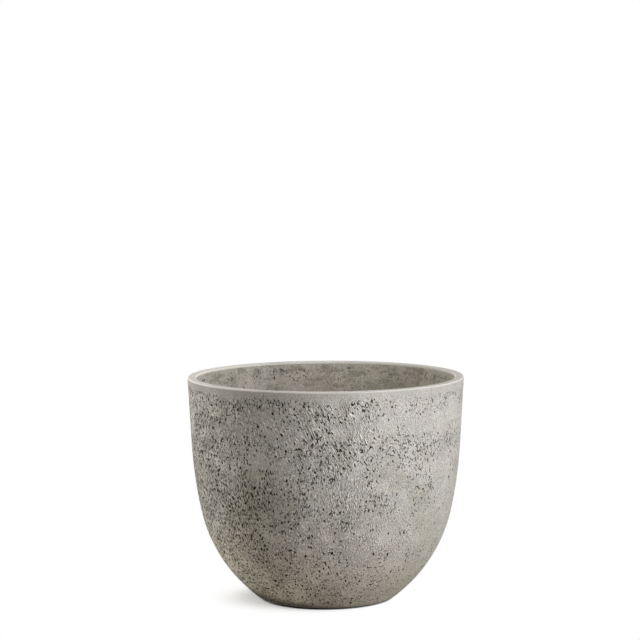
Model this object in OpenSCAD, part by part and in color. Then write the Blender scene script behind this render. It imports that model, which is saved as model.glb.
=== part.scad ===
// Concrete bowl planter: one cast bowl with a leaning wall and a round belly, a ribbed
// rubber plug in its drain hole, and thin pads under its base.
// Millimetres, +Z up. The origin is the centre of the ring of pads, on their undersides.

/* [Bowl outline] */
// Outer diameter at the rim
rim_d = 380; // [340:1:440]
// Height of the casting, from its base to its rim
bowl_h = 305; // [270:1:360]
// Lean of the straight wall, in degrees from upright
wall_lean = 3.1; // [1:0.1:5]
// Radius of the flank, the long curve below the straight wall
flank_r = 560; // [400:5:700]
// Degrees that the flank turns through
flank_angle = 9.5; // [6:0.1:12]
// Radius of the belly curve
belly_r = 205; // [180:1:230]
// Degrees that the belly turns through
belly_angle = 39.6; // [34:0.1:44]
// Radius of the heel, the tight curve between belly and base
heel_r = 12; // [6:0.5:20]

/* [Wall and floor] */
// Thickness of the wall
wall_t = 12; // [9:0.5:16]
// Radius of the two softened edges of the rim
rim_edge_r = 2; // [1:0.1:4]
// Thickness of the floor
floor_t = 20; // [15:0.5:28]
// Radius of the inside corner, between wall and floor
corner_r = 30; // [15:1:45]

/* [Drain] */
// Diameter of the drain hole
drain_d = 22; // [16:0.5:30]
// Width of the flat seat around the drain hole
seat_w = 9; // [6:0.5:14]
// Width of the slope that leads water down to the seat
slope_w = 35; // [15:1:40]
// Depth of the seat below the floor
seat_depth = 3; // [1:0.5:5]
// Width of the chamfer at the lower end of the drain hole
drain_chamfer = 1.5; // [0.5:0.1:2.5]

/* [Drain plug] */
// Distance from the edge of the plug's flange to the edge of the seat
flange_gap = 2.5; // [1:0.5:5]
// Thickness of the plug's flange
flange_t = 3.5; // [2:0.1:6]
// Radius of the flange's top edge
flange_edge_r = 1.2; // [0.5:0.1:1.8]
// Running gap between the plug's ribs and the drain hole
rib_gap = 0.05; // [0.02:0.01:0.1]
// Height by which the ribs stand out from the plug's stem
rib_h = 1.2; // [0.6:0.1:2]
// Number of ribs
rib_count = 3; // [2:1:4]
// Distance from the end of the stem up from the underside of the bowl
stem_recess = 3; // [1:0.5:6]
// Diameter of the pull knob
knob_d = 18; // [14:0.5:22]
// Height of the pull knob, without its neck
knob_h = 10; // [8:0.5:14]
// Radius of the knob's edges
knob_edge_r = 3.5; // [1:0.1:4]
// Diameter of the neck under the knob
neck_d = 10; // [7:0.5:12]
// Height of the neck
neck_h = 6; // [4:0.5:10]
// Radius of the hollow where the neck meets the flange
neck_fillet_r = 1.5; // [0.5:0.1:3]

/* [Foot pads] */
// Number of pads
pad_count = 4; // [3:1:6]
// Diameter of a pad
pad_d = 26; // [18:0.5:34]
// Thickness of a pad
pad_t = 2; // [1.5:0.1:4]
// Radius of a pad's lower edge
pad_edge_r = 0.8; // [0.3:0.1:1.2]
// Distance from a pad's edge to the edge of the flat base
pad_inset = 7; // [3:0.5:15]

/* [Hidden] */
$fa = 2;
$fs = 0.5;

// Each curve of an outline has a point at least every so many degrees, or every so many
// millimetres where that is fewer points.
arc_angle = 3;
arc_chord = 0.4;
concrete = [0.69, 0.675, 0.64];
rubber = [0.10, 0.10, 0.105];

// Points of an arc round c, from angle a0 to a1. The first one is left out where the
// outline is there already.
function arc(c, r, a0, a1, first = true) =
    let (turn = abs(a1 - a0))
    let (n = ceil(min(turn / arc_angle, turn * PI / 180 * r / arc_chord)))
    [for (i = [first ? 0 : 1 : n]) c + r * dir(a0 + (a1 - a0) * i / n)];
function dir(a) = [cos(a), sin(a)];

// Lean of the outline from upright where the flank ends, and where the belly ends. An
// outline that leans by an angle faces that many degrees below level.
flank_lean = wall_lean + flank_angle;
belly_lean = flank_lean + belly_angle;

// The curves are stacked from the base up, and the straight wall takes the height that
// is left. Each curve starts in the direction in which the last one ended.
heel_top = heel_r * (1 - sin(belly_lean));
belly_top = heel_top + belly_r * (sin(belly_lean) - sin(flank_lean));
flank_top = belly_top + flank_r * (sin(flank_lean) - sin(wall_lean));
flank_c = [wall_radius(flank_top), flank_top] - flank_r * dir(-wall_lean);
belly_c = flank_c + (flank_r - belly_r) * dir(-flank_lean);
heel_c = belly_c + (belly_r - heel_r) * dir(-belly_lean);
base_r = heel_c.x;

// Outer radius of the straight wall at height z.
function wall_radius(z) = rim_d / 2 - (bowl_h - z) * tan(wall_lean);

// The inside corner touches the floor and the inner face of the belly.
corner_z = floor_t + corner_r;
corner_reach = belly_r - wall_t - corner_r;
corner_lean = asin((belly_c.y - corner_z) / corner_reach);
corner_c = [belly_c.x + corner_reach * cos(corner_lean), corner_z];

// The rim's edges are tangent to the flat top and to the faces of the leaning wall.
rim_edge_z = bowl_h - rim_edge_r;
rim_outer_c = [wall_radius(rim_edge_z) - rim_edge_r / cos(wall_lean), rim_edge_z];
rim_inner_c = [wall_radius(rim_edge_z) - (wall_t - rim_edge_r) / cos(wall_lean), rim_edge_z];

drain_r = drain_d / 2;
seat_r = drain_r + seat_w;
seat_z = floor_t - seat_depth;

flange_r = seat_r - flange_gap;
flange_top = seat_z + flange_t;
neck_r = neck_d / 2;
knob_r = knob_d / 2;
knob_bottom = flange_top + neck_h;
knob_top = knob_bottom + knob_h;
rib_r = drain_r - rib_gap;
stem_r = rib_r - rib_h;
rib_pitch = (seat_z - stem_recess) / rib_count;

pad_ring_r = base_r - pad_inset - pad_d / 2;

// Half of the bowl's section: up the outside, over the rim, and down the inside.
module bowl_section() {
    polygon(concat(
        [[drain_r, drain_chamfer], [drain_r + drain_chamfer, 0]],
        arc(heel_c, heel_r, -90, -belly_lean),
        arc(belly_c, belly_r, -belly_lean, -flank_lean, false),
        arc(flank_c, flank_r, -flank_lean, -wall_lean, false),
        arc(rim_outer_c, rim_edge_r, -wall_lean, 90),
        arc(rim_inner_c, rim_edge_r, 90, 180 - wall_lean),
        arc(flank_c, flank_r - wall_t, -wall_lean, -flank_lean),
        arc(belly_c, belly_r - wall_t, -flank_lean, -corner_lean, false),
        arc(corner_c, corner_r, -corner_lean, -90, false),
        [[seat_r + slope_w, floor_t], [seat_r, seat_z], [drain_r, seat_z]]
    ));
}

// The casting: wall, belly, heel, base, floor and drain hole in one pour.
module bowl() {
    color(concrete)
        translate([0, 0, pad_t])
            rotate_extrude()
                bowl_section();
}

// One rib, at the foot of its share of the stem: it slopes out going up, so that it
// slides in easily, and has a short land and a steep back that grips.
function rib(z) = [
    [stem_r, z],
    [rib_r, z + rib_pitch * 0.45],
    [rib_r, z + rib_pitch * 0.7],
    [stem_r, z + rib_pitch * 0.85]
];

// Half of the plug's section: the stem with its ribs, the flange that lies on the seat,
// and the neck and knob that fingers pull it out by.
module plug_section() {
    polygon(concat(
        [[0, stem_recess]],
        [for (i = [0 : rib_count - 1]) each rib(stem_recess + i * rib_pitch)],
        [[stem_r, seat_z], [flange_r, seat_z]],
        arc([flange_r, flange_top] - flange_edge_r * [1, 1], flange_edge_r, 0, 90),
        arc([neck_r, flange_top] + neck_fillet_r * [1, 1], neck_fillet_r, 270, 180),
        [[neck_r, knob_bottom]],
        arc([knob_r, knob_bottom] + knob_edge_r * [-1, 1], knob_edge_r, -90, 0),
        arc([knob_r, knob_top] - knob_edge_r * [1, 1], knob_edge_r, 0, 90),
        [[0, knob_top]]
    ));
}

// The rubber plug. Its foot doesn't reach down to the base, so it never lifts the bowl.
module drain_plug() {
    color(rubber)
        translate([0, 0, pad_t])
            rotate_extrude()
                plug_section();
}

// One self-adhesive pad, stuck to the flat base near its edge.
module foot_pad(i) {
    color(rubber)
        rotate([0, 0, 360 * (i - 1) / pad_count])
            translate([pad_ring_r, 0, 0])
                rotate_extrude()
                    polygon(concat(
                        [[0, 0]],
                        arc([pad_d / 2, 0] + pad_edge_r * [-1, 1], pad_edge_r, -90, 0),
                        [[pad_d / 2, pad_t], [0, pad_t]]
                    ));
}

bowl();
drain_plug();
for (i = [1 : pad_count])
    foot_pad(i);
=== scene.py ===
# %% [markdown]
# # A cast concrete bowl planter
#
# The real object is one concrete casting, pitted all over its outside by the air that was
# trapped against the mould, with a rubber plug in its drain hole and rubber pads under it.
# The CAD model is its frame: it fixes the sizes, and this lesson dresses it. We start by
# loading the frame. What we model is meant to stay inside its box.

# %% Load the frame
import math
import random
from types import SimpleNamespace

import bmesh
import bpy
from mathutils import Matrix, Vector, noise


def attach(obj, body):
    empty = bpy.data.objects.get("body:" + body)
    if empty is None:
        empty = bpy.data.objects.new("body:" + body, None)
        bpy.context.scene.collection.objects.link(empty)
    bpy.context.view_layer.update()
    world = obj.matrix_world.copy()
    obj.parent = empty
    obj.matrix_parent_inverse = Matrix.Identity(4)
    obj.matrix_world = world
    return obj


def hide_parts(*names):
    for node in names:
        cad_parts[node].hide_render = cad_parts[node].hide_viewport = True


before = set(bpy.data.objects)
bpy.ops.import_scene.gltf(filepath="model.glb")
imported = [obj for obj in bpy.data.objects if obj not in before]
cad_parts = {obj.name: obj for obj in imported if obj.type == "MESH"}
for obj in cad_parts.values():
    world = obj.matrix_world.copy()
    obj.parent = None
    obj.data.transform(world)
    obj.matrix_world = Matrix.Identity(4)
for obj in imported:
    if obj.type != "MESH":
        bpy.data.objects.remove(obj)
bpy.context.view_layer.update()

# %% [markdown]
# The casting's sizes are those of the CAD model, in metres. Its outline is a chain of
# curves that flow into each other: heel, belly, flank and a straight wall that leans out.
# Each curve begins in the direction in which the last one ended, so the centre of a curve
# lies on the line through the end of the last one and that one's centre.

# %% Sizes of the casting
MM = 0.001
RIM_RADIUS = 190 * MM
HEIGHT = 305 * MM
WALL_LEAN = 3.1
FLANK_RADIUS = 560 * MM
FLANK_LEAN = WALL_LEAN + 9.5
BELLY_RADIUS = 205 * MM
BELLY_LEAN = FLANK_LEAN + 39.6
HEEL_RADIUS = 12 * MM
WALL = 12 * MM
RIM_EDGE = 2 * MM
FLOOR = 20 * MM
CORNER_RADIUS = 30 * MM
DRAIN_RADIUS = 11 * MM
SEAT_RADIUS = 20 * MM
SLOPE_RADIUS = 55 * MM
SEAT_HEIGHT = 17 * MM
DRAIN_CHAMFER = 1.5 * MM
PAD = 2 * MM


def towards(degrees):
    """A step of length 1 in the plane of the section, at so many degrees above level."""
    a = math.radians(degrees)
    return Vector((math.cos(a), 0, math.sin(a)))


def sine(degrees):
    return math.sin(math.radians(degrees))


def wall_radius(height):
    """Outer radius of the straight wall at a height."""
    return RIM_RADIUS - (HEIGHT - height) * math.tan(math.radians(WALL_LEAN))


belly_top = (HEEL_RADIUS * (1 - sine(BELLY_LEAN))
             + BELLY_RADIUS * (sine(BELLY_LEAN) - sine(FLANK_LEAN)))
flank_top = belly_top + FLANK_RADIUS * (sine(FLANK_LEAN) - sine(WALL_LEAN))
flank_centre = Vector((wall_radius(flank_top), 0, flank_top)) - FLANK_RADIUS * towards(-WALL_LEAN)
belly_centre = flank_centre + (FLANK_RADIUS - BELLY_RADIUS) * towards(-FLANK_LEAN)
heel_centre = belly_centre + (BELLY_RADIUS - HEEL_RADIUS) * towards(-BELLY_LEAN)
corner_reach = BELLY_RADIUS - WALL - CORNER_RADIUS
corner_height = FLOOR + CORNER_RADIUS
corner_lean = math.degrees(math.asin((belly_centre.z - corner_height) / corner_reach))
corner_centre = belly_centre + corner_reach * towards(-corner_lean)
print("the base is", round(heel_centre.x / MM, 2), "mm in radius")

# %% [markdown]
# A casting is round, so one outline spun about the upright axis makes all of it: outside,
# rim, inside, floor and drain hole. We draw the outline with two pens. The line pen
# extrudes the last point again and again, and the arc pen spins it about a centre. The
# number of steps sets how fine the mesh will be there. The outside gets the most, because
# its pits are cut into its points later.

# %% Two pens for the outline
def draw_line(bm, tip, radius, height, steps=1):
    """Draws a straight line from the point tip, in so many steps, and returns its end."""
    step = (Vector((radius, 0, height)) - tip.co) / steps
    for count in range(steps):
        start = tip.co.copy()
        tip = bmesh.ops.extrude_vert_indiv(bm, verts=[tip])["verts"][0]
        tip.co = start + step
    return tip


def draw_arc(bm, tip, centre, degrees, steps):
    """Draws an arc from the point tip round centre, anticlockwise, and returns its end."""
    made = bmesh.ops.spin(bm, geom=[tip], cent=centre, axis=(0, -1, 0),
                          angle=math.radians(degrees), steps=steps)
    return next(g for g in made["geom_last"] if isinstance(g, bmesh.types.BMVert))


# %% [markdown]
# The outline starts at the foot of the drain hole and runs out along the base, up the
# outside, over the rim, down the inside and back through the hole. Three numbers are
# noted on its points, in layers that the spin will copy: whether the point is inside the
# pot, the number of its row, and how much the casting may be uneven there. The upper part
# of the inner face has more steps than the rest of it, because it shows.

# %% Draw the outline
HEEL_STEPS = 3
BELLY_STEPS = 50
FLANK_STEPS = 28
WALL_STEPS = 27
EDGE_STEPS = 5
FINE_INSIDE = 62 * MM

casting = bmesh.new()
inside_layer = casting.verts.layers.float.new("inside")
row_layer = casting.verts.layers.int.new("row")
uneven_layer = casting.verts.layers.float.new("uneven")

tip = casting.verts.new((DRAIN_RADIUS, 0, DRAIN_CHAMFER))
tip = draw_line(casting, tip, DRAIN_RADIUS + DRAIN_CHAMFER, 0)
tip = heel_start = draw_line(casting, tip, heel_centre.x, 0, 4)
tip = draw_arc(casting, tip, heel_centre, 90 - BELLY_LEAN, HEEL_STEPS)
tip = draw_arc(casting, tip, belly_centre, BELLY_LEAN - FLANK_LEAN, BELLY_STEPS)
tip = draw_arc(casting, tip, flank_centre, FLANK_LEAN - WALL_LEAN, FLANK_STEPS)
rim_centre_height = HEIGHT - RIM_EDGE
edge_lean = RIM_EDGE / math.cos(math.radians(WALL_LEAN))
outer_edge = Vector((wall_radius(rim_centre_height) - edge_lean, 0, rim_centre_height))
inner_edge = Vector((wall_radius(rim_centre_height) - edge_lean * (WALL / RIM_EDGE - 1), 0,
                     rim_centre_height))
rim_start = outer_edge + RIM_EDGE * towards(-WALL_LEAN)
tip = outside_end = draw_line(casting, tip, rim_start.x, rim_start.z, WALL_STEPS)
tip = draw_arc(casting, tip, outer_edge, 90 + WALL_LEAN, EDGE_STEPS)
tip = draw_line(casting, tip, inner_edge.x, HEIGHT, 3)
tip = inside_start = draw_arc(casting, tip, inner_edge, 90 - WALL_LEAN, EDGE_STEPS)
inner_flank = flank_centre + (FLANK_RADIUS - WALL) * towards(-WALL_LEAN)
upper_end = HEIGHT - FINE_INSIDE
tip = draw_line(casting, tip, wall_radius(upper_end) - WALL / math.cos(math.radians(WALL_LEAN)),
                upper_end, 16)
tip = draw_line(casting, tip, inner_flank.x, inner_flank.z, 3)
tip = draw_arc(casting, tip, flank_centre, WALL_LEAN - FLANK_LEAN, 4)
tip = draw_arc(casting, tip, belly_centre, FLANK_LEAN - corner_lean, 7)
tip = inside_end = draw_arc(casting, tip, corner_centre, corner_lean - 90, 5)
tip = draw_line(casting, tip, SLOPE_RADIUS, FLOOR, 2)
tip = draw_line(casting, tip, SEAT_RADIUS, SEAT_HEIGHT, 3)
tip = draw_line(casting, tip, DRAIN_RADIUS, SEAT_HEIGHT, 1)
tip = draw_line(casting, tip, DRAIN_RADIUS, DRAIN_CHAMFER, 2)
bmesh.ops.remove_doubles(casting, verts=casting.verts[:], dist=1e-6)
print("the outline has", len(casting.verts), "points and", len(casting.edges), "edges")

# %% [markdown]
# To number the rows we walk round the outline from the heel, because its points were made
# in another order than they lie in. The outside and the upper inside may be uneven, the
# rim hardly, and the floor and the drain hole not at all.

# %% Number the rows
UNEVEN_OUTSIDE = 1.0
UNEVEN_INSIDE = 0.6
UNEVEN_RIM = 0.25
RIM_ROWS = 4


def walk(start, second):
    """The outline's points in order, from start by way of second and back round."""
    chain = [start, second]
    while chain[-1] is not start:
        here, last = chain[-1], chain[-2]
        onward = [e.other_vert(here) for e in here.link_edges]
        chain.append(next(v for v in onward if v is not last))
    return chain[:-1]


neighbours = [e.other_vert(heel_start) for e in heel_start.link_edges]
outline = walk(heel_start, max(neighbours, key=lambda v: v.co.x))
outside_rows = outline.index(outside_end)
inside_rows = range(outline.index(inside_start), outline.index(inside_end) + 1)
for row, point in enumerate(outline):
    point[row_layer] = row
    point[inside_layer] = 1.0 if row >= inside_rows[0] else 0.0
    if 5 < row < outside_rows - RIM_ROWS:
        point[uneven_layer] = UNEVEN_OUTSIDE
    elif row in inside_rows:
        point[uneven_layer] = UNEVEN_INSIDE
    elif outside_rows - RIM_ROWS <= row < inside_rows[0]:
        point[uneven_layer] = UNEVEN_RIM
print("rows outside", outside_rows, "rows inside", len(inside_rows), "of", len(outline))

# %% [markdown]
# Now the spin. A full turn needs use_merge, so that the last copy of the outline is joined
# to the first. Then every second row of the walls is turned by half a step. That makes the
# squares lean left and right in turn, and when they are cut across their short diagonals
# they become nearly equal-sided triangles. Each point then has six neighbours, and a point
# that is bevelled away leaves a six-sided hole, which is close to round.
#
# Blender keeps the points in a fixed order, but the order of the edges and faces that the
# spin and the bevel make differs from run to run. Random numbers are dealt out by order, so
# we sort those by their points. Then every run gives the same casting.

# %% Spin the casting
STEPS_AROUND = 288
bmesh.ops.spin(casting, geom=casting.verts[:] + casting.edges[:], cent=(0, 0, 0),
               axis=(0, 0, 1), angle=2 * math.pi, steps=STEPS_AROUND, use_merge=True)
bmesh.ops.remove_doubles(casting, verts=casting.verts[:], dist=1e-6)


def by_points(bm, parts):
    """Edges or faces in the order of their points, which is the same in every run."""
    bm.verts.index_update()
    return sorted(parts, key=lambda part: sorted(v.index for v in part.verts))


def settle(bm):
    """Puts the edges and faces of a bmesh in that order."""
    for parts in (bm.edges, bm.faces):
        rank = {part: number for number, part in enumerate(by_points(bm, parts))}
        parts.sort(key=rank.get)


settle(casting)


def in_wall(row):
    """Whether a row lies on one of the two faces of the wall."""
    return 0 < row <= outside_rows or inside_rows[0] <= row < inside_rows[-1]


odd_rows = [v for v in casting.verts if in_wall(v[row_layer]) and v[row_layer] % 2]
half_step = Matrix.Rotation(math.pi / STEPS_AROUND, 3, "Z")
bmesh.ops.rotate(casting, verts=odd_rows, cent=(0, 0, 0), matrix=half_step)
wall_faces = [f for f in casting.faces if any(in_wall(v[row_layer]) for v in f.verts)]
bmesh.ops.triangulate(casting, faces=wall_faces, quad_method="SHORT_EDGE",
                      ngon_method="BEAUTY")
bmesh.ops.recalc_face_normals(casting, faces=casting.faces[:])
casting.normal_update()
print("spun", len(casting.verts), "points,", len(casting.faces), "faces, volume",
      round(casting.calc_volume() * 1000, 4), "litres")

# %% [markdown]
# No casting is true. Ours lies a few tenths of a millimetre below its curve, in broad
# waves, lumps and grit, which three sizes of noise give. It never lies above it, so it
# stays in the CAD box. Away from the rim the points also shift a little along the surface,
# by a share of the room that they have, so that nothing lines up.

# %% Make it uneven
SHIFT_SHARE = 0.30
shift = random.Random(5)


def share(value, low, high):
    """0 below low, 1 above high, and a soft step between."""
    t = min(1.0, max(0.0, (value - low) / (high - low)))
    return t * t * (3 - 2 * t)


def dip(spot):
    """How far the casting lies below its true curve at a place, in metres."""
    waves = noise.noise(spot * 14)
    lumps = noise.noise(spot * 60 + Vector((3, 1, 7)))
    grit = noise.noise(spot * 210 + Vector((9, 4, 2)))
    return max(0.0, 0.26 + 0.16 * waves + 0.13 * lumps + 0.16 * grit) * MM


moves = []
deepest = 0.0
for point in casting.verts:
    amount = point[uneven_layer]
    if amount:
        slide = Vector([shift.uniform(-1, 1) for axis in "xyz"])
        slide -= slide.dot(point.normal) * point.normal
        reach = SHIFT_SHARE * min(e.calc_length() for e in point.link_edges)
        if amount == UNEVEN_RIM:
            reach = 0
        depth = dip(point.co) * amount
        deepest = max(deepest, depth)
        moves.append((point, slide * reach - point.normal * depth))
for point, move in moves:
    point.co += move
print("moved", len(moves), "points; the deepest dip is", round(deepest / MM, 2), "mm")

# %% [markdown]
# The pits are what everybody sees first. They are two to five millimetres across and come
# in crowds: in level bands, where one bucket of concrete met the next, on the left side,
# and right under the smooth band at the rim, where the mould was wiped. Between the crowds
# lie barer patches. The relief is another matter. It was dragged into short ridges where
# the wet concrete slid down its mould, and is faint at the foot and on the right side,
# which is worn smoother. So two layers are kept: ridged for the relief, and pitted, by
# which the pits are dealt out. The material reads both.

# %% Where the casting is ridged and where it is pitted
ridged_layer = casting.verts.layers.float.new("ridged")
pitted_layer = casting.verts.layers.float.new("pitted")

# Places on the front where the pits crowd, or are rare: x, z and reach in millimetres, and
# what they add to the crowding.
CROWDED_PLACES = [(-8, 215, 55, 0.12), (-85, 236, 65, -0.28), (-75, 122, 65, 0.08),
                  (45, 130, 110, -0.22)]


def lane(value, middle, half_width):
    """1 along the middle of a lane, and 0 beyond its edges."""
    return 1 - share(abs(value - middle), 0.3 * half_width, half_width)


def patches(spot, size, seed, spread=1.0):
    """Noise around 0, between about -spread and spread, in patches of that size."""
    return spread * noise.noise(spot / size + Vector((seed, 2.0 * seed, 3.0 * seed)))


def side(spot):
    """-1 at the far left of the pot, 0 in the middle and 1 at the far right."""
    return spot.x / spot.xy.length


def near(spot, x, z, reach):
    """1 close to a place on the front of the pot, and 0 from so far away."""
    away = math.hypot(spot.x - x, spot.z - z)
    return (1 - share(away, 0.4 * reach, reach)) * share(-spot.y, 0, 50 * MM)


def below_band(spot, low, high):
    """1 below the wiped band at the rim, whose edge is wavy, and 0 in it."""
    return 1 - share(spot.z + patches(spot, 40 * MM, 1, 6 * MM), low, high)


def ridged(spot):
    """How strong the dragged relief is at a place, from 0 to 1.1."""
    worn_and_lit_side = 1.10 - 0.30 * share(side(spot), -0.7, 0.0) - 0.50 * share(side(spot), 0.0, 0.6)
    worn_and_lit_side -= 0.20 * near(spot, -85 * MM, 236 * MM, 65 * MM)
    foot = 0.65 + 0.35 * share(spot.z, 30 * MM, 105 * MM)
    bare = 0.30 + 0.70 * share(patches(spot, 24 * MM, 2), -0.30, 0.10)
    return below_band(spot, 287 * MM, 297 * MM) * worn_and_lit_side * foot * bare


def pitted(spot):
    """How crowded the pits are at a place, from 0 to 1."""
    level = spot.z + patches(spot, 90 * MM, 3, 14 * MM)
    right = share(side(spot), 0.1, 0.4)
    crowd = 0.42 + (0.17 - 0.16 * right) * lane(level, 289 * MM, 12 * MM)
    crowd += 0.25 * lane(level, 228 * MM, 24 * MM)
    crowd += 0.15 * lane(level, 150 * MM, 26 * MM) + 0.08 * share(-level, -90 * MM, -40 * MM)
    crowd -= 0.25 * lane(level, 264 * MM, 16 * MM) * share(side(spot), 0.1, 0.5)
    crowd += 0.14 * share(-side(spot), 0.3, 0.7)
    for x, z, reach, more in CROWDED_PLACES:
        crowd += more * near(spot, x * MM, z * MM, reach * MM)
    worn_and_lit_side = 1 - 0.5 * share(side(spot), 0.3, 0.95) * share(-spot.z, -230 * MM, -150 * MM)
    crowd += patches(spot, 24 * MM, 4, 0.42 + 0.20 * share(spot.z, 120 * MM, 200 * MM))
    return below_band(spot, 289 * MM, 299 * MM) * worn_and_lit_side * min(1.0, max(0.05, crowd))


for point in casting.verts:
    if 3 < point[row_layer] < outside_rows:
        point[ridged_layer] = max(0.0, ridged(point.co))
        point[pitted_layer] = pitted(point.co)
    elif point[row_layer] in inside_rows[2:]:
        point[ridged_layer] = 0.10
        tide = 0.30 * lane(point.co.z + patches(point.co, 60 * MM, 6, 8 * MM), 291 * MM, 12 * MM)
        point[pitted_layer] = max(0.02, 0.15 + tide + patches(point.co, 16 * MM, 5, 0.6))
outside_points = [v for v in casting.verts if 3 < v[row_layer] < outside_rows - 2]
inside_points = [v for v in casting.verts if v[row_layer] in inside_rows[2:]]
for name, layer in (("ridged", ridged_layer), ("pitted", pitted_layer)):
    print("mean of", name, "outside",
          round(sum(v[layer] for v in outside_points) / len(outside_points), 3))

# %% [markdown]
# A small pit is a point that is bevelled into a six-sided mouth, which is then poked in.
# A large one needs more room: its point and those close to it are dissolved, which leaves
# one many-sided face. That is inset to make the mouth, and the mouth is inset again and
# pushed in at once. Each mouth is drawn out along the way in which the concrete was
# dragged. A point is only used where it has room, so that no two mouths overlap, and the
# large pits are cut first. The corners of the faces note what is pit, from 0.5 at its
# mouth to 1 at its floor, and a little on the lip around it, where the material paints
# dirt and shade too. The mouths are sorted by their points before they draw their random
# numbers.

# %% Cut the pits
pit_layer = casting.loops.layers.float.new("pit")
deal = random.Random(21)
PIT_FLOOR = 1.0
PIT_MOUTH = 0.5
PIT_LIP = 0.12
LONGER = (0.15, 0.60)
NARROWER = 0.20
RAGGED = (0.70, 1.08)


def drag(spot):
    """The direction in which the concrete was dragged at a place: up, and leaning left."""
    lean = math.radians(4 + 17 * share(spot.z, 193 * MM, 218 * MM))
    return Vector((-math.sin(lean), 0, math.cos(lean)))


def draw_out(mouth, radius):
    """Puts a mouth's corners at that radius, stretched along the drag and uneven."""
    centre = mouth.calc_center_median()
    along = drag(centre)
    along = (along - along.dot(mouth.normal) * mouth.normal).normalized()
    across = along.cross(mouth.normal)
    longer = deal.uniform(*LONGER)
    for v in mouth.verts:
        arm = (v.co - centre).normalized() * radius * deal.uniform(*RAGGED)
        v.co = centre + arm + along * arm.dot(along) * longer
        v.co -= across * arm.dot(across) * NARROWER


def corners_of(faces):
    """The points of the faces, each once and in a fixed order."""
    return list(dict.fromkeys(v for f in faces for v in f.verts))


def mark_pits(floors, lips, pit_faces):
    """Unsettles the floors, and notes on the corners of the faces what is pit and lip."""
    for v in floors:
        v.co += Vector([deal.uniform(-1, 1) for axis in "xyz"]) * 0.2 * MM
    for v in lips:
        for corner in v.link_loops:
            corner[pit_layer] = PIT_LIP
    on_floor = set(floors)
    for f in pit_faces:
        for corner in f.loops:
            corner[pit_layer] = PIT_FLOOR if corner.vert in on_floor else PIT_MOUTH


def cut_large(bm, footprints, radius, depth):
    """Cuts a pit of that radius and depth where each footprint's points are."""
    known = set(f for f in bm.faces if len(f.verts) > 4)
    bmesh.ops.dissolve_verts(bm, verts=[v for footprint in footprints for v in footprint])
    mouths = [f for f in bm.faces if len(f.verts) > 4 and f not in known]
    mouths = by_points(bm, mouths)
    bmesh.ops.inset_individual(bm, faces=mouths, thickness=0.05 * MM)
    for f in mouths:
        draw_out(f, radius)
    lips = corners_of(mouths)
    walls = bmesh.ops.inset_individual(bm, faces=mouths, thickness=radius * 0.34,
                                       depth=-depth)["faces"]
    mark_pits(corners_of(mouths), lips, mouths + walls)
    return len(mouths)


def cut_small(bm, points, radius, depth):
    """Cuts a pit of that radius and depth at each point."""
    made = bmesh.ops.bevel(bm, geom=points, offset=radius, offset_type="OFFSET",
                           segments=1, profile=0.5, affect="VERTICES",
                           clamp_overlap=False, material=-1)
    mouths = by_points(bm, [f for f in made["faces"] if f.is_valid])
    for f in mouths:
        draw_out(f, radius)
    lips = corners_of(mouths)
    made = bmesh.ops.poke(bm, faces=mouths, offset=-depth, center_mode="MEAN")
    mark_pits(made["verts"], lips, made["faces"])
    return len(points)


# %% [markdown]
# The pits are dealt out like cards. Each point draws a number, which its crowding raises,
# and the highest go first. Sizes are dealt from large to small, and every third large pit
# is cut deeper than the others. How many pits there are of each size was found by setting
# renders beside the photograph.

# %% Deal out the pits
LARGE_PITS = [(2.4 * MM, 28), (2.0 * MM, 140), (1.75 * MM, 430), (1.5 * MM, 1020)]
SMALL_PITS = [(1.25 * MM, 1550), (1.0 * MM, 1450)]
LARGE_PITS_INSIDE = [(1.8 * MM, 8), (1.5 * MM, 24)]
SMALL_PITS_INSIDE = [(1.2 * MM, 130), (0.9 * MM, 280)]
DEEP = 1.2
SHALLOW = 0.85


def by_lot(points, worn=0.0):
    """The points in a drawn order. Pitted ones come sooner, and by worn those at the left too."""
    def lot(v):
        weight = v[pitted_layer] ** 1.3 * (1 - worn * share(side(v.co), -0.9, 0.7))
        return deal.random() ** (1 / max(1e-4, weight))
    return sorted(points, key=lot, reverse=True)


def deal_large(bm, points, sizes):
    """Deals out large pits of each (radius, number) in sizes over the points."""
    order = by_lot(points, 0.85)
    total = 0
    for radius, number in sizes:
        footprints = []
        taken = set()
        for v in order:
            if len(footprints) == number:
                break
            if not v.is_valid or any(corner[pit_layer] for corner in v.link_loops):
                continue
            ring = [e.other_vert(v) for e in v.link_edges if e.calc_length() < 1.6 * radius]
            footprint = [v] + ring
            faces = set(f for w in footprint for f in w.link_faces)
            clean = not any(corner[pit_layer] for f in faces for corner in f.loops)
            if clean and not faces & taken:
                footprints.append(footprint)
                taken |= faces
        others = [f for i, f in enumerate(footprints) if i % 3]
        total += cut_large(bm, footprints[::3], radius, radius * DEEP)
        total += cut_large(bm, others, radius, radius * SHALLOW)
        print("large pits of radius", round(radius / MM, 2), "mm:", len(footprints))
    return total


def deal_small(bm, points, sizes):
    """Deals out small pits of each (radius, number) in sizes over the points."""
    order = by_lot([v for v in points if v.is_valid])
    total = 0
    for radius, number in sizes:
        taken = set()
        chosen = []
        for v in order:
            if len(chosen) == number:
                break
            room = min(e.calc_length() for e in v.link_edges)
            crowded = any(e.other_vert(v) in taken for e in v.link_edges)
            if room > radius * (2.9 if crowded else 1.65):
                chosen.append(v)
                taken.add(v)
        order = [v for v in order if v not in taken]
        total += cut_small(bm, chosen, radius, radius)
        print("small pits of radius", round(radius / MM, 2), "mm:", len(chosen))
    return total


large_count = deal_large(casting, outside_points, LARGE_PITS)
small_count = deal_small(casting, outside_points, SMALL_PITS)
print("pits outside", large_count, "large and", small_count, "small")
inside_large = deal_large(casting, inside_points, LARGE_PITS_INSIDE)
inside_small = deal_small(casting, inside_points, SMALL_PITS_INSIDE)
print("pits inside", inside_large, "large and", inside_small, "small")

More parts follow.
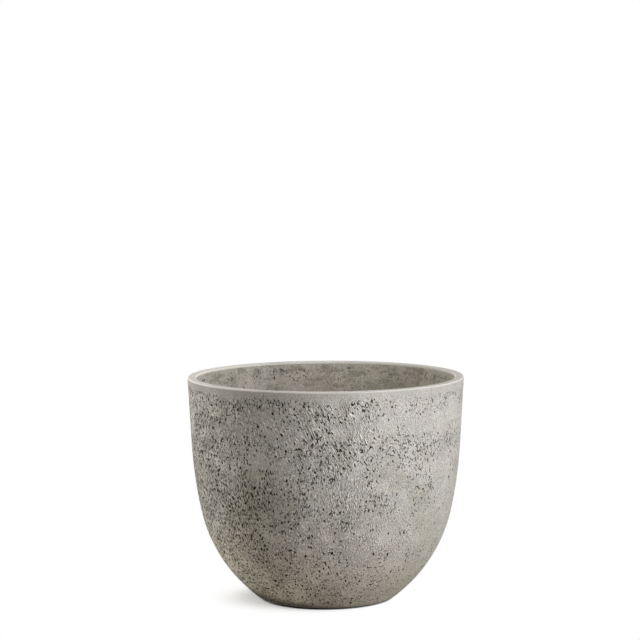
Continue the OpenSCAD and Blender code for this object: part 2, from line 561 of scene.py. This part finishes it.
# %% [markdown]
# The casting stands on its pads, so it is lifted by their thickness. Edges sharper than
# forty degrees are kept sharp, which gives the pits crisp mouths, and the rest is shaded
# smooth. Then it becomes an object, which rides on the CAD body and stands for its node.

# %% Make the bowl
def finish_piece(name, bm, material, body, slot, *nodes, sharp=40):
    """Makes an object of a bmesh, for a CAD body and the nodes it replaces. The slot is not used.
    """
    bmesh.ops.recalc_face_normals(bm, faces=bm.faces[:])
    settle(bm)
    for edge in bm.edges:
        edge.smooth = edge.calc_face_angle(0) < math.radians(sharp)
    for face in bm.faces:
        face.smooth = True
    mesh = bpy.data.meshes.new(name)
    triangles = sum(len(f.verts) - 2 for f in bm.faces)
    loose = sum(not e.is_manifold for e in bm.edges)
    bm.to_mesh(mesh)
    bm.free()
    mesh.materials.append(material)
    piece = bpy.data.objects.new(name, mesh)
    bpy.context.scene.collection.objects.link(piece)
    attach(piece, body)
    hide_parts(*nodes)
    print(name, "has", triangles, "triangles and", loose, "open edges")
    return piece


bmesh.ops.translate(casting, verts=casting.verts[:], vec=(0, 0, PAD))
concrete = bpy.data.materials.new("cast_concrete")
bowl = finish_piece("cast_bowl", casting, concrete, "bowl", "concrete", "bowl")

# %% [markdown]
# Materials are small graphs of nodes. A few short helpers keep them readable. The first
# adds a node and feeds its sockets with numbers or with other nodes' outputs. The others
# do sums and products, turn a range of values into a soft mask, mix two colours, and give
# noise of a size in metres, which can be stretched into streaks. The last two start and
# finish a material.

# %% Helpers for materials
def add(tree, kind, feeds, output=0, **settings):
    """Adds a node, sets it, feeds its sockets and returns one of its outputs."""
    made = tree.nodes.new("ShaderNode" + kind)
    for name, value in settings.items():
        setattr(made, name, value)
    for socket, value in feeds.items():
        if isinstance(value, bpy.types.NodeSocket):
            tree.links.new(value, made.inputs[socket])
        else:
            made.inputs[socket].default_value = value
    return made.outputs[output] if made.outputs else None


def sums(tree, operation, a, b=0.0, c=0.0):
    """One step of arithmetic."""
    return add(tree, "Math", {0: a, 1: b, 2: c}, operation=operation)


def times(tree, first, *others):
    """All of the values multiplied with each other."""
    for other in others:
        first = sums(tree, "MULTIPLY", first, other)
    return first


def scaled(tree, value, factor, plus):
    """The value times the factor, plus something."""
    return sums(tree, "MULTIPLY_ADD", value, factor, plus)


def mask(tree, value, low, high, at_low=0.0, at_high=1.0):
    """at_low where value is low or less, at_high where it is high or more, soft between."""
    return add(tree, "MapRange", {0: value, 1: low, 2: high, 3: at_low, 4: at_high},
               interpolation_type="SMOOTHSTEP")


def mix(tree, factor, a, b, blend="MIX"):
    """Mixes two colours."""
    def colour(value):
        return value if isinstance(value, bpy.types.NodeSocket) else (*value, 1.0)
    return add(tree, "Mix", {0: factor, 6: colour(a), 7: colour(b)}, output=2,
               data_type="RGBA", blend_type=blend)


def grain(tree, place, size, detail=2.0, output="Fac"):
    """Noise whose lumps are about that size, in metres."""
    return add(tree, "TexNoise", {"Vector": place, "Scale": 1 / size, "Detail": detail},
               output=output)


def stretched(tree, place, scale, lean=0.0):
    """The same place, stretched so that a pattern runs in streaks, which may lean left."""
    return add(tree, "Mapping", {"Vector": place, "Rotation": (0, -math.radians(lean), 0),
                                 "Scale": scale}, vector_type="TEXTURE")


def darken(tree, colour, tone):
    """Multiplies a colour by a number."""
    shade = add(tree, "CombineColor", {0: tone, 1: tone, 2: tone})
    return mix(tree, 1.0, colour, shade, "MULTIPLY")


def start_material(material):
    """Clears a material and returns its tree and the place on the object."""
    material.use_nodes = True
    tree = material.node_tree
    tree.nodes.clear()
    place = tree.nodes.new("ShaderNodeTexCoord").outputs["Object"]
    return tree, place


def finish_material(tree, colour, roughness, height, specular):
    """The shader itself. The height is in millimetres and makes the bump."""
    bump = add(tree, "Bump", {"Height": height, "Distance": MM, "Strength": 1.0})
    shader = add(tree, "BsdfPrincipled", {"Base Color": colour, "Roughness": roughness,
                                          "Normal": bump, "Specular IOR Level": specular})
    add(tree, "OutputMaterial", {"Surface": shader})


# %% [markdown]
# The concrete's graph is long, so it is made in parts, each a function in a cell of its
# own. All of them ask the same things about a place: how high it is, how far to the right
# and from the axis, and what the mesh notes there. We read these once and keep them
# together. Two masks go by height and by side, in millimetres, because most marks on the
# pot lie at a height or on a side.

# %% What the concrete reads
def read_surface(tree, place):
    """The outputs that tell where a place is and what the mesh notes there."""
    at = SimpleNamespace(place=place)
    at.across = add(tree, "SeparateXYZ", {0: place}, output=0)
    at.height = add(tree, "SeparateXYZ", {0: place}, output=2)
    level_place = add(tree, "VectorMath", {0: place, 1: (1, 1, 0)}, operation="MULTIPLY")
    at.from_axis = add(tree, "VectorMath", {0: level_place}, output="Value", operation="LENGTH")
    for name in ("ridged", "pitted", "pit", "inside"):
        setattr(at, name, add(tree, "Attribute", {}, output="Fac", attribute_name=name))
    return at


def by_height(tree, at, low, high, at_low=0.0, at_high=1.0):
    """A mask by the height above the ground, in millimetres."""
    return mask(tree, at.height, low * MM, high * MM, at_low, at_high)


def by_side(tree, at, low, high, at_low=0.0, at_high=1.0):
    """A mask by the distance to the right of the axis, in millimetres."""
    return mask(tree, at.across, low * MM, high * MM, at_low, at_high)


# %% [markdown]
# The relief is bump, because it is finer than the mesh. It is crumbly noise, stretched
# along the way in which wet concrete slides down its mould: leaning to one side on the
# upper half, combed into long strands in the middle of it, and nearly upright below.

# %% The relief
CRUMB_SIZE = 1.3 * MM
STRAND_SIZE = 1.35 * MM


def crumbs(tree, place):
    """Crumbly relief as numbers around 0.5: noise, and cells that stand up as grains."""
    lumps = grain(tree, place, CRUMB_SIZE)
    cells = add(tree, "TexVoronoi", {"Vector": place, "Scale": 0.8 / CRUMB_SIZE},
                output="Distance")
    return scaled(tree, lumps, 0.92, scaled(tree, cells, -0.18, 0.13))


def ridges(tree, at):
    """The dragged relief as numbers around 0.5: leaning or combed high up, upright below."""
    leaning = crumbs(tree, stretched(tree, at.place, (1, 1, 4.5), lean=25))
    upright = crumbs(tree, stretched(tree, at.place, (1, 1, 3.4), lean=7))
    combed = grain(tree, stretched(tree, at.place, (1, 1, 6), lean=30), STRAND_SIZE, 1.0)
    strands = scaled(tree, combed, 1.10, -0.050)
    middle = times(tree, by_side(tree, at, -100, -50, 0.0, 0.70), by_side(tree, at, 100, 40))
    upper = add(tree, "Mix", {0: middle, 2: leaning, 3: strands})
    return add(tree, "Mix", {0: by_height(tree, at, 195, 220), 2: upright, 3: upper})


# %% [markdown]
# The pits of the mesh are only where holes may be. Ragged noise and the relief eat into
# some of them, join others and add pinholes that are too small for the mesh. A coarser
# noise makes some deep and black and leaves the rest faint, but only where pits are dealt
# at all, so the smooth band at the rim stays clean.

# %% The holes
def holes(tree, at, ridge, deep, far_left):
    """How far a place is a hole, which is painted dark with dirt and painted shade, from 0 to 1.
    """
    ragged = grain(tree, stretched(tree, at.place, (1, 1, 2.2), lean=16), 1.6 * MM, 1.0)
    deep_here = times(tree, deep, mask(tree, at.pitted, 0.05, 0.35))
    depth = at.pit
    for value, weight in ((ragged, 1.7), (ridge, -1.2), (at.pitted, 0.20), (far_left, 0.02),
                          (deep_here, 0.36)):
        depth = scaled(tree, value, weight, depth)
    return mask(tree, depth, 0.86, 0.92)


# %% [markdown]
# The colour of the wall has many sources. The cement varies from cool to warm in soft
# bands, with faint pink and olive clouds and broad damp patches, one of which is a stain
# low on the left. The foot is warmer, and painted paler on the left, which is painted light
# that makes up for the light that our lamps don't bring there. The upper part is paler.
# Each is one more mix over the last.

# %% The wall outside
COOL_CEMENT = (0.492, 0.483, 0.457)
WARM_CEMENT = (0.540, 0.523, 0.484)
PINK_CLOUD = (0.515, 0.460, 0.430)
OLIVE_CLOUD = (0.455, 0.460, 0.385)
DAMP_CEMENT = (0.390, 0.385, 0.325)
STAINED_CEMENT = (0.330, 0.322, 0.250)
FOOT_RIGHT = (0.470, 0.438, 0.372)
FOOT_LEFT_PAINTED_LIGHT = (0.735, 0.680, 0.572)
UPPER_PALE_CEMENT = (0.615, 0.595, 0.560)
CLOUD_SCALE = 38
STAIN_CENTRE = (-78 * MM, -135 * MM, 160 * MM)


def colour_outside(tree, at, damp):
    """The colour of the wall outside, with painted light at the left of the foot, before its dirt
    and painted shade.
    """
    bands = grain(tree, stretched(tree, at.place, (4, 4, 1)), 16 * MM)
    cement = mix(tree, mask(tree, bands, 0.35, 0.65), COOL_CEMENT, WARM_CEMENT)
    clouds = add(tree, "TexNoise", {"Vector": at.place, "Scale": CLOUD_SCALE, "Detail": 4.0},
                 output="Color")
    for channel, colour in ((0, PINK_CLOUD), (1, OLIVE_CLOUD)):
        cloud = add(tree, "SeparateColor", {0: clouds}, output=channel)
        cement = mix(tree, mask(tree, cloud, 0.54, 0.70, 0, 0.45), cement, colour)
    cement = mix(tree, mask(tree, damp, 0.52, 0.68, 0, 0.55), cement, DAMP_CEMENT)
    from_stain = add(tree, "VectorMath", {0: at.place, 1: STAIN_CENTRE}, output="Value",
                     operation="DISTANCE")
    stain = scaled(tree, bands, 50 * MM, from_stain)
    cement = mix(tree, mask(tree, stain, 105 * MM, 40 * MM, 0, 0.60), cement, STAINED_CEMENT)
    # Painted light: the foot is paler on the left.
    foot = mix(tree, by_side(tree, at, 20, -60), FOOT_RIGHT, FOOT_LEFT_PAINTED_LIGHT)
    cement = mix(tree, by_height(tree, at, 160, 0, 0, 0.8), cement, foot)
    return mix(tree, by_height(tree, at, 170, 290, 0, 0.30), cement, UPPER_PALE_CEMENT)


# %% [markdown]
# The inner face has held wet soil. It is browner than the outside, with a dirty tide line
# below the rim, dark smears that are drawn out level, and pale runs of lime that go
# straight down.

# %% The inner face
LINING = (0.505, 0.472, 0.408)
DAMP_LINING = (0.430, 0.418, 0.350)
LIT_LINING_PAINTED = (0.560, 0.505, 0.430)
SMEAR = (0.205, 0.200, 0.152)
LIME_RUN = (0.580, 0.565, 0.515)


def colour_inside(tree, at, damp):
    """The colour of the inner face."""
    tide = times(tree, by_height(tree, at, 278, 290), by_height(tree, at, 303, 296))
    smears = grain(tree, stretched(tree, at.place, (2.4, 2.4, 1)), 8.5 * MM, 4.0)
    smears = scaled(tree, tide, 0.05, smears)
    runs = grain(tree, stretched(tree, at.place, (1, 1, 6)), 13 * MM)
    lining = mix(tree, mask(tree, damp, 0.42, 0.58), LINING, DAMP_LINING)
    # Painted light: the inner face is paler and warmer towards the left, where light falls on it.
    lining = mix(tree, by_side(tree, at, 80, -80, 0, 0.3), lining, LIT_LINING_PAINTED)
    lining = mix(tree, mask(tree, smears, 0.50, 0.68, 0, 0.55), lining, SMEAR)
    return mix(tree, mask(tree, runs, 0.57, 0.66, 0, 0.35), lining, LIME_RUN)


# %% [markdown]
# The two ends carry dirt, painted shade and painted highlights. The heel is painted dark,
# with dirt and painted shade, higher up on the left, where the shadow lies, and the line on
# which the pot stands is painted nearly black, a painted contact shadow. Both stay at the
# outer edge of the base, and the rest of the underside is plain. The rim's two edges are
# painted nearly white, a painted highlight that is paler on the left, and its flat top is a
# paler grey than the wall.

# %% Heel and rim
HEEL_DIRT_AND_SHADE = (0.120, 0.105, 0.078)
CONTACT_SHADOW_PAINT = (0.030, 0.026, 0.020)
LIP_HIGHLIGHT_RIGHT = (0.84, 0.81, 0.76)
LIP_HIGHLIGHT_LEFT = (0.98, 0.945, 0.885)
RIM_TOP = (0.64, 0.62, 0.58)


def dirt_and_painted_light_at_ends(tree, at, cement):
    """Puts dirt, painted shade and painted highlights on the colour of the heel and of the rim.
    """
    # Dirt and painted shade on the heel, higher up on the left.
    heel_height = scaled(tree, at.across, 0.12, at.height)
    heel = times(tree, mask(tree, heel_height, 12 * MM, 0, 0, 0.85),
                 mask(tree, at.from_axis, 60 * MM, 88 * MM, 0.3, 1))
    cement = mix(tree, heel, cement, HEEL_DIRT_AND_SHADE)
    # Painted contact shadow: the line on which the pot stands is nearly black.
    contact_shadow = times(tree, by_height(tree, at, 5, 2, 0, 0.8),
                    mask(tree, at.from_axis, 85 * MM, 90 * MM))
    cement = mix(tree, contact_shadow, cement, CONTACT_SHADOW_PAINT)
    # Painted highlight on the rim's two edges, paler on the left.
    lip = mix(tree, by_side(tree, at, 60, -20), LIP_HIGHLIGHT_RIGHT, LIP_HIGHLIGHT_LEFT)
    lip_height = scaled(tree, at.inside, 1.6 * MM, at.height)
    cement = mix(tree, mask(tree, lip_height, 304.6 * MM, 306.2 * MM, 0, 0.85), cement, lip)
    return mix(tree, by_height(tree, at, 306.6, 306.9), cement, RIM_TOP)


# %% [markdown]
# Over the colours lies a tone, a number near 1 that makes a place paler or darker. Sand
# shows in it as fine grain, and the crests of the relief are painted pale, a painted
# highlight. Painted light makes the far left paler, but not the smooth band below the rim,
# which is darker at both sides. The upper left and the far right are painted a little
# darker, as painted shade, and one part of the inner face is paler.

# %% The tone
def tone_of(tree, at, sand, ridge, far_left, worn_and_lit_side):
    """The number by which the colour is multiplied."""
    smooth_rim = by_height(tree, at, 304.5, 302.5, 0.35, 1.0)
    tone = scaled(tree, mask(tree, sand, 0.30, 0.70, -0.27, 0.25), smooth_rim, 1.0)
    # Painted highlight: the crests of the relief are made paler.
    crest_highlight = times(tree, mask(tree, ridge, 0.50, 0.64, 0.0, 0.72), at.ridged)
    tone = times(tree, tone, sums(tree, "ADD", crest_highlight, 1.0))

    # Painted light and shade by side: the far left paler, the upper left and the far right
    # darker.
    off_band = sums(tree, "MAXIMUM", by_height(tree, at, 302, 290),
                    by_height(tree, at, 304.4, 305.4))
    off_band = sums(tree, "MAXIMUM", off_band, at.inside)
    dust_and_painted_light = scaled(tree, times(tree, far_left, off_band), 0.17, 0.96)
    upper_left = times(tree, by_side(tree, at, -20, -60),
                       by_height(tree, at, 190, 230, 0.0, -0.05))
    dust_and_painted_light = sums(tree, "ADD", dust_and_painted_light, upper_left)
    dust_and_painted_light = sums(tree, "ADD", dust_and_painted_light, by_side(tree, at, -45, -70, 0.0, -0.06))
    dust_and_painted_light = scaled(tree, worn_and_lit_side, -0.09, dust_and_painted_light)

    band = times(tree, by_height(tree, at, 287, 294),
                 by_height(tree, at, 305.6, 304.4, 0.0, -0.11),
                 sums(tree, "SUBTRACT", 1.0, at.inside))
    at_sides = mask(tree, sums(tree, "ABSOLUTE", at.across), 65 * MM, 120 * MM)
    paler_inside = times(tree, by_side(tree, at, 0, 25), by_side(tree, at, 105, 80, 0.0, 0.34),
                         by_height(tree, at, 302, 286))
    return times(tree, tone, dust_and_painted_light, scaled(tree, band, at_sides, 1.0),
                 scaled(tree, paler_inside, at.inside, 1.0))


# %% [markdown]
# Now the parts are joined. The colours are multiplied by the tone, then the hollows of the
# relief and the holes are painted dark, with dirt and painted shade. The holes are less dark
# on the right side, which is worn and lit, and inside, and darkest where they are deep. The
# bump adds the relief, where the mesh says that the concrete is ridged, to the grain of
# the sand, and sinks the holes.

# %% The concrete
HOLLOW_DIRT_AND_SHADE = (0.135, 0.120, 0.090)
HOLE_DIRT_AND_SHADE = (0.020, 0.015, 0.009)


def paint_concrete(material):
    """Raw cast concrete, pitted and dragged."""
    tree, place = start_material(material)
    at = read_surface(tree, place)
    ridge = ridges(tree, at)
    sand = grain(tree, place, 1.4 * MM, 1.0)
    lump = grain(tree, place, 5 * MM, 1.0)
    damp = grain(tree, place, 75 * MM)
    deep = mask(tree, grain(tree, place, 3.4 * MM), 0.45, 0.57)
    far_left = by_side(tree, at, -60, -150)
    worn_and_lit_side = by_side(tree, at, 40, 160)
    hole = holes(tree, at, ridge, deep, far_left)

    height = times(tree, scaled(tree, ridge, 7.2, lump), at.ridged)
    height = scaled(tree, sand, 0.40, height)
    height = scaled(tree, hole, -0.9, height)

    outside = colour_outside(tree, at, damp)
    cement = mix(tree, at.inside, outside, colour_inside(tree, at, damp))
    cement = dirt_and_painted_light_at_ends(tree, at, cement)
    cement = darken(tree, cement, tone_of(tree, at, sand, ridge, far_left, worn_and_lit_side))
    # Dirt and painted shade in the hollows of the relief.
    hollow = times(tree, mask(tree, ridge, 0.41, 0.34, 0.0, 0.62), at.ridged)
    cement = mix(tree, hollow, cement, HOLLOW_DIRT_AND_SHADE)
    # Dirt and painted shade in the holes: less dark on the lit right side and inside, darkest
    # where deep.
    hole_dirt_and_shade = times(tree, hole, scaled(tree, worn_and_lit_side, -0.20, 1.0),
                      scaled(tree, deep, 0.60, 0.40), scaled(tree, at.inside, -0.25, 1.0))
    colour = mix(tree, hole_dirt_and_shade, cement, HOLE_DIRT_AND_SHADE)
    finish_material(tree, colour, mask(tree, sand, 0.3, 0.7, 0.82, 0.97), height, 0.25)


paint_concrete(concrete)
print("the concrete has", len(concrete.node_tree.nodes), "nodes")

# %% [markdown]
# The drain plug is moulded rubber: a stem with three ribs that grip the hole, a flange
# that lies on the seat around it, and a knob on a neck to pull it out by. It is a turned
# shape, so the same pens draw it. It starts and ends on the axis, where the spin closes it.

# %% The drain plug
SEAT = SEAT_HEIGHT + PAD
FLANGE_RADIUS = 17.5 * MM
FLANGE_TOP = SEAT + 3.5 * MM
FLANGE_EDGE = 1.2 * MM
STEM_FOOT = 3 * MM + PAD
STEM_RADIUS = 9.75 * MM
RIB_RADIUS = 10.95 * MM
RIB_PITCH = (SEAT - STEM_FOOT) / 3
NECK_RADIUS = 5 * MM
NECK_FILLET = 1.5 * MM
KNOB_RADIUS = 9 * MM
KNOB_EDGE = 3.5 * MM
KNOB_FOOT = FLANGE_TOP + 6 * MM
KNOB_TOP = KNOB_FOOT + 10 * MM
STEM_EDGE = 0.6 * MM
FLANGE_CHAMFER = 0.3 * MM
NECK_EDGE = 0.5 * MM

# A rib from its foot up: radius, share of the rib's height, steps.
RIB_SECTION = [(RIB_RADIUS - 0.12 * MM, 0.42, 2), (RIB_RADIUS, 0.48, 1), (RIB_RADIUS, 0.66, 1),
               (RIB_RADIUS - 0.2 * MM, 0.71, 1), (STEM_RADIUS + 0.1 * MM, 0.84, 1),
               (STEM_RADIUS, 0.90, 1)]


def on_section(radius, height):
    return Vector((radius, 0, height))


plug = bmesh.new()
tip = plug.verts.new((0, 0, STEM_FOOT))
tip = draw_line(plug, tip, STEM_RADIUS - STEM_EDGE, STEM_FOOT, 5)
tip = draw_arc(plug, tip, on_section(STEM_RADIUS - STEM_EDGE, STEM_FOOT + STEM_EDGE), 90, 3)
for rib in range(3):
    foot = STEM_FOOT + rib * RIB_PITCH
    for radius, part, steps in RIB_SECTION:
        tip = draw_line(plug, tip, radius, foot + RIB_PITCH * part, steps)
tip = draw_line(plug, tip, STEM_RADIUS, SEAT)
tip = draw_line(plug, tip, FLANGE_RADIUS - FLANGE_CHAMFER, SEAT, 3)
tip = draw_line(plug, tip, FLANGE_RADIUS, SEAT + FLANGE_CHAMFER)
tip = draw_line(plug, tip, FLANGE_RADIUS, FLANGE_TOP - FLANGE_EDGE, 2)
tip = draw_arc(plug, tip, on_section(FLANGE_RADIUS - FLANGE_EDGE, FLANGE_TOP - FLANGE_EDGE),
               90, 6)
fillet_centre = on_section(NECK_RADIUS + NECK_FILLET, FLANGE_TOP + NECK_FILLET)
tip = draw_line(plug, tip, fillet_centre.x, FLANGE_TOP, 5)
tip = draw_arc(plug, tip, fillet_centre, -90, 6)
tip = draw_line(plug, tip, NECK_RADIUS, KNOB_FOOT - NECK_EDGE, 3)
tip = draw_arc(plug, tip, on_section(NECK_RADIUS + NECK_EDGE, KNOB_FOOT - NECK_EDGE), -90, 3)
tip = draw_arc(plug, tip, on_section(KNOB_RADIUS - KNOB_EDGE, KNOB_FOOT + KNOB_EDGE), 90, 9)
tip = draw_line(plug, tip, KNOB_RADIUS, KNOB_TOP - KNOB_EDGE, 2)
tip = draw_arc(plug, tip, on_section(KNOB_RADIUS - KNOB_EDGE, KNOB_TOP - KNOB_EDGE), 90, 9)
tip = draw_line(plug, tip, 0, KNOB_TOP, 5)
bmesh.ops.remove_doubles(plug, verts=plug.verts[:], dist=1e-6)
bmesh.ops.spin(plug, geom=plug.verts[:] + plug.edges[:], cent=(0, 0, 0), axis=(0, 0, 1),
               angle=2 * math.pi, steps=96, use_merge=True)
bmesh.ops.remove_doubles(plug, verts=plug.verts[:], dist=1e-6)
rubber = bpy.data.materials.new("moulded_rubber")
plug_piece = finish_piece("ribbed_plug", plug, rubber, "drain_plug", "plug_rubber",
                          "drain_plug", sharp=50)

# %% [markdown]
# Rubber is nearly black, but never evenly so. The plug has a satin skin from its mould,
# with fine grain, and a film of pale concrete dust. The foot pads are cut from matt foam
# rubber, and their CAD nodes have the right shape already, so they only get a material.

# %% The rubbers
def paint_rubber(material, dark, dust_and_painted_light, amount, shine):
    """Black rubber with a fine grain and a film of dust in clouds."""
    tree, place = start_material(material)
    skin = grain(tree, place, 0.7 * MM)
    clouds = grain(tree, place, 6 * MM, 3.0)
    film = mask(tree, clouds, 0.40, 0.70, 0.0, amount)
    specks = mask(tree, grain(tree, place, 1.1 * MM, 1.0), 0.62, 0.72, 0.0, amount)
    tone = mask(tree, skin, 0.3, 0.7, 0.8, 1.2)
    colour = mix(tree, film, darken(tree, dark, tone), dust_and_painted_light)
    colour = mix(tree, specks, colour, dust_and_painted_light)
    finish_material(tree, colour, mask(tree, clouds, 0.35, 0.7, shine, 0.85),
                    sums(tree, "MULTIPLY", skin, 0.06), 0.4)


paint_rubber(rubber, (0.026, 0.026, 0.028), (0.30, 0.29, 0.26), 0.22, 0.45)
foam_rubber = bpy.data.materials.new("foam_rubber")
paint_rubber(foam_rubber, (0.030, 0.030, 0.031), (0.26, 0.25, 0.23), 0.16, 0.75)
for name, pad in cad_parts.items():
    if name.startswith("foot_pad"):
        pad.data.materials.clear()
        pad.data.materials.append(foam_rubber)
        print(name, "has", pad.material_slots[0].name)

# %% [markdown]
# The floor is white to the camera and keeps the planter's soft shadow. Close to the pot it
# is white paint with a faint glow, which stops at the edge of the base, so that the gap
# under the pot stays dark. Further out it glows with the same white as the background, so
# no horizon shows. Light that bounces from it sees a warm grey floor instead, because the
# real pot's belly is dark towards the ground.

# %% The floor
floor_bm = bmesh.new()
bmesh.ops.create_circle(floor_bm, cap_ends=True, segments=96, radius=6.0)
floor_mesh = bpy.data.meshes.new("floor")
floor_bm.to_mesh(floor_mesh)
floor_bm.free()
floor = bpy.data.objects.new("floor", floor_mesh)
bpy.context.scene.collection.objects.link(floor)


def seen_ray(tree):
    """1 for rays from the camera, from mirrors and through glass, and 0 for others."""
    ray = tree.nodes.new("ShaderNodeLightPath").outputs
    seen = sums(tree, "MAXIMUM", ray["Is Camera Ray"], ray["Is Glossy Ray"])
    return sums(tree, "MAXIMUM", seen, ray["Is Transmission Ray"])


floor_paint = bpy.data.materials.new("floor_paint")
tree, place = start_material(floor_paint)
from_axis = add(tree, "VectorMath", {0: place}, output="Value", operation="LENGTH")
outside_base = mask(tree, from_axis, 0.0905, 0.0945)
nearness = add(tree, "Mapping", {"Vector": place, "Location": (0.035, -0.005, 0.0)})
away = add(tree, "VectorMath", {0: nearness}, output="Value", operation="LENGTH")
far = sums(tree, "MULTIPLY", mask(tree, away, 0.060, 0.135), outside_base)
paint = add(tree, "BsdfDiffuse", {"Color": (0.95, 0.95, 0.95, 1)})
glow = add(tree, "Emission", {"Color": (1, 1, 1, 1), "Strength": 1.0})
dim_glow = add(tree, "Emission", {"Color": (1, 1, 1, 1),
                                  "Strength": sums(tree, "MULTIPLY", outside_base, 0.22)})
close_by = add(tree, "AddShader", {0: paint, 1: dim_glow})
shown = add(tree, "MixShader", {0: far, 1: close_by, 2: glow})
grey = add(tree, "BsdfDiffuse", {"Color": (0.64, 0.60, 0.53, 1)})
add(tree, "OutputMaterial",
    {"Surface": add(tree, "MixShader", {0: seen_ray(tree), 1: grey, 2: shown})})
floor.data.materials.append(floor_paint)
print("the floor is", round(floor.dimensions.x, 1), "m across")

# %% [markdown]
# The photograph's light is a soft window at the right, well in front of the pot, a second
# one behind it and above, which lights the inner face, a third at the left, which lights
# that edge, and an even dim grey around. A lamp's power is worked out from the brightness
# that it should give a white card that faces it at the pot, which is its power divided by
# (pi times distance) squared.

# %% The light
TARGET = Vector((0, 0, 0.16))


def lamp(name, azimuth, elevation, distance, size, brightness, tint=(1, 1, 1)):
    """A square lamp. Azimuth 0 is at the camera's side and 90 at the right."""
    a, e = math.radians(azimuth), math.radians(elevation)
    outward = Vector((math.sin(a) * math.cos(e), -math.cos(a) * math.cos(e), math.sin(e)))
    data = bpy.data.lights.new(name, "AREA")
    data.shape = "SQUARE"
    data.size = size
    data.color = tint
    data.energy = brightness * (math.pi * distance) ** 2
    light = bpy.data.objects.new(name, data)
    light.location = TARGET + outward * distance
    light.rotation_euler = outward.to_track_quat("Z", "Y").to_euler()
    bpy.context.scene.collection.objects.link(light)
    print(name, "has", round(data.energy, 2), "watts")


lamp("window", 54, 17, 1.6, 0.8, 0.85, (0.985, 0.99, 1.02))
lamp("rear_window", 180, 45, 1.8, 1.0, 0.52, (1, 0.985, 0.95))
lamp("left_window", -100, 20, 1.6, 0.7, 0.63, (1, 0.98, 0.95))

world = bpy.data.worlds.new("studio")
bpy.context.scene.world = world
world.use_nodes = True
tree = world.node_tree
tree.nodes.clear()
around = add(tree, "Background", {"Color": (1.0, 0.975, 0.925, 1), "Strength": 0.145})
white = add(tree, "Background", {"Color": (1, 1, 1, 1), "Strength": 1.0})
add(tree, "OutputWorld",
    {"Surface": add(tree, "MixShader", {0: seen_ray(tree), 1: around, 2: white})})

# %% [markdown]
# The camera's place comes from a fit of the pot's outline in the photograph. It stands
# three metres away, looks down by five degrees, and is turned by a third of a degree.

# %% The camera
LENS = 123.45
LOOK_DOWN = 5.18
TURN = -0.293

camera_data = bpy.data.cameras.new("camera")
camera_data.sensor_width = 36
camera_data.lens = LENS
camera = bpy.data.objects.new("camera", camera_data)
tilt = Matrix.Rotation(math.radians(90 - LOOK_DOWN), 4, "X")
roll = Matrix.Rotation(math.radians(TURN), 4, "Z")
camera.rotation_euler = (tilt @ roll).to_euler()
camera.location = (-0.0073, -3.0, 0.6555)
bpy.context.scene.collection.objects.link(camera)
bpy.context.scene.camera = camera
bpy.context.scene.view_settings.view_transform = "Standard"

# %% Update the scene
bpy.context.view_layer.update()
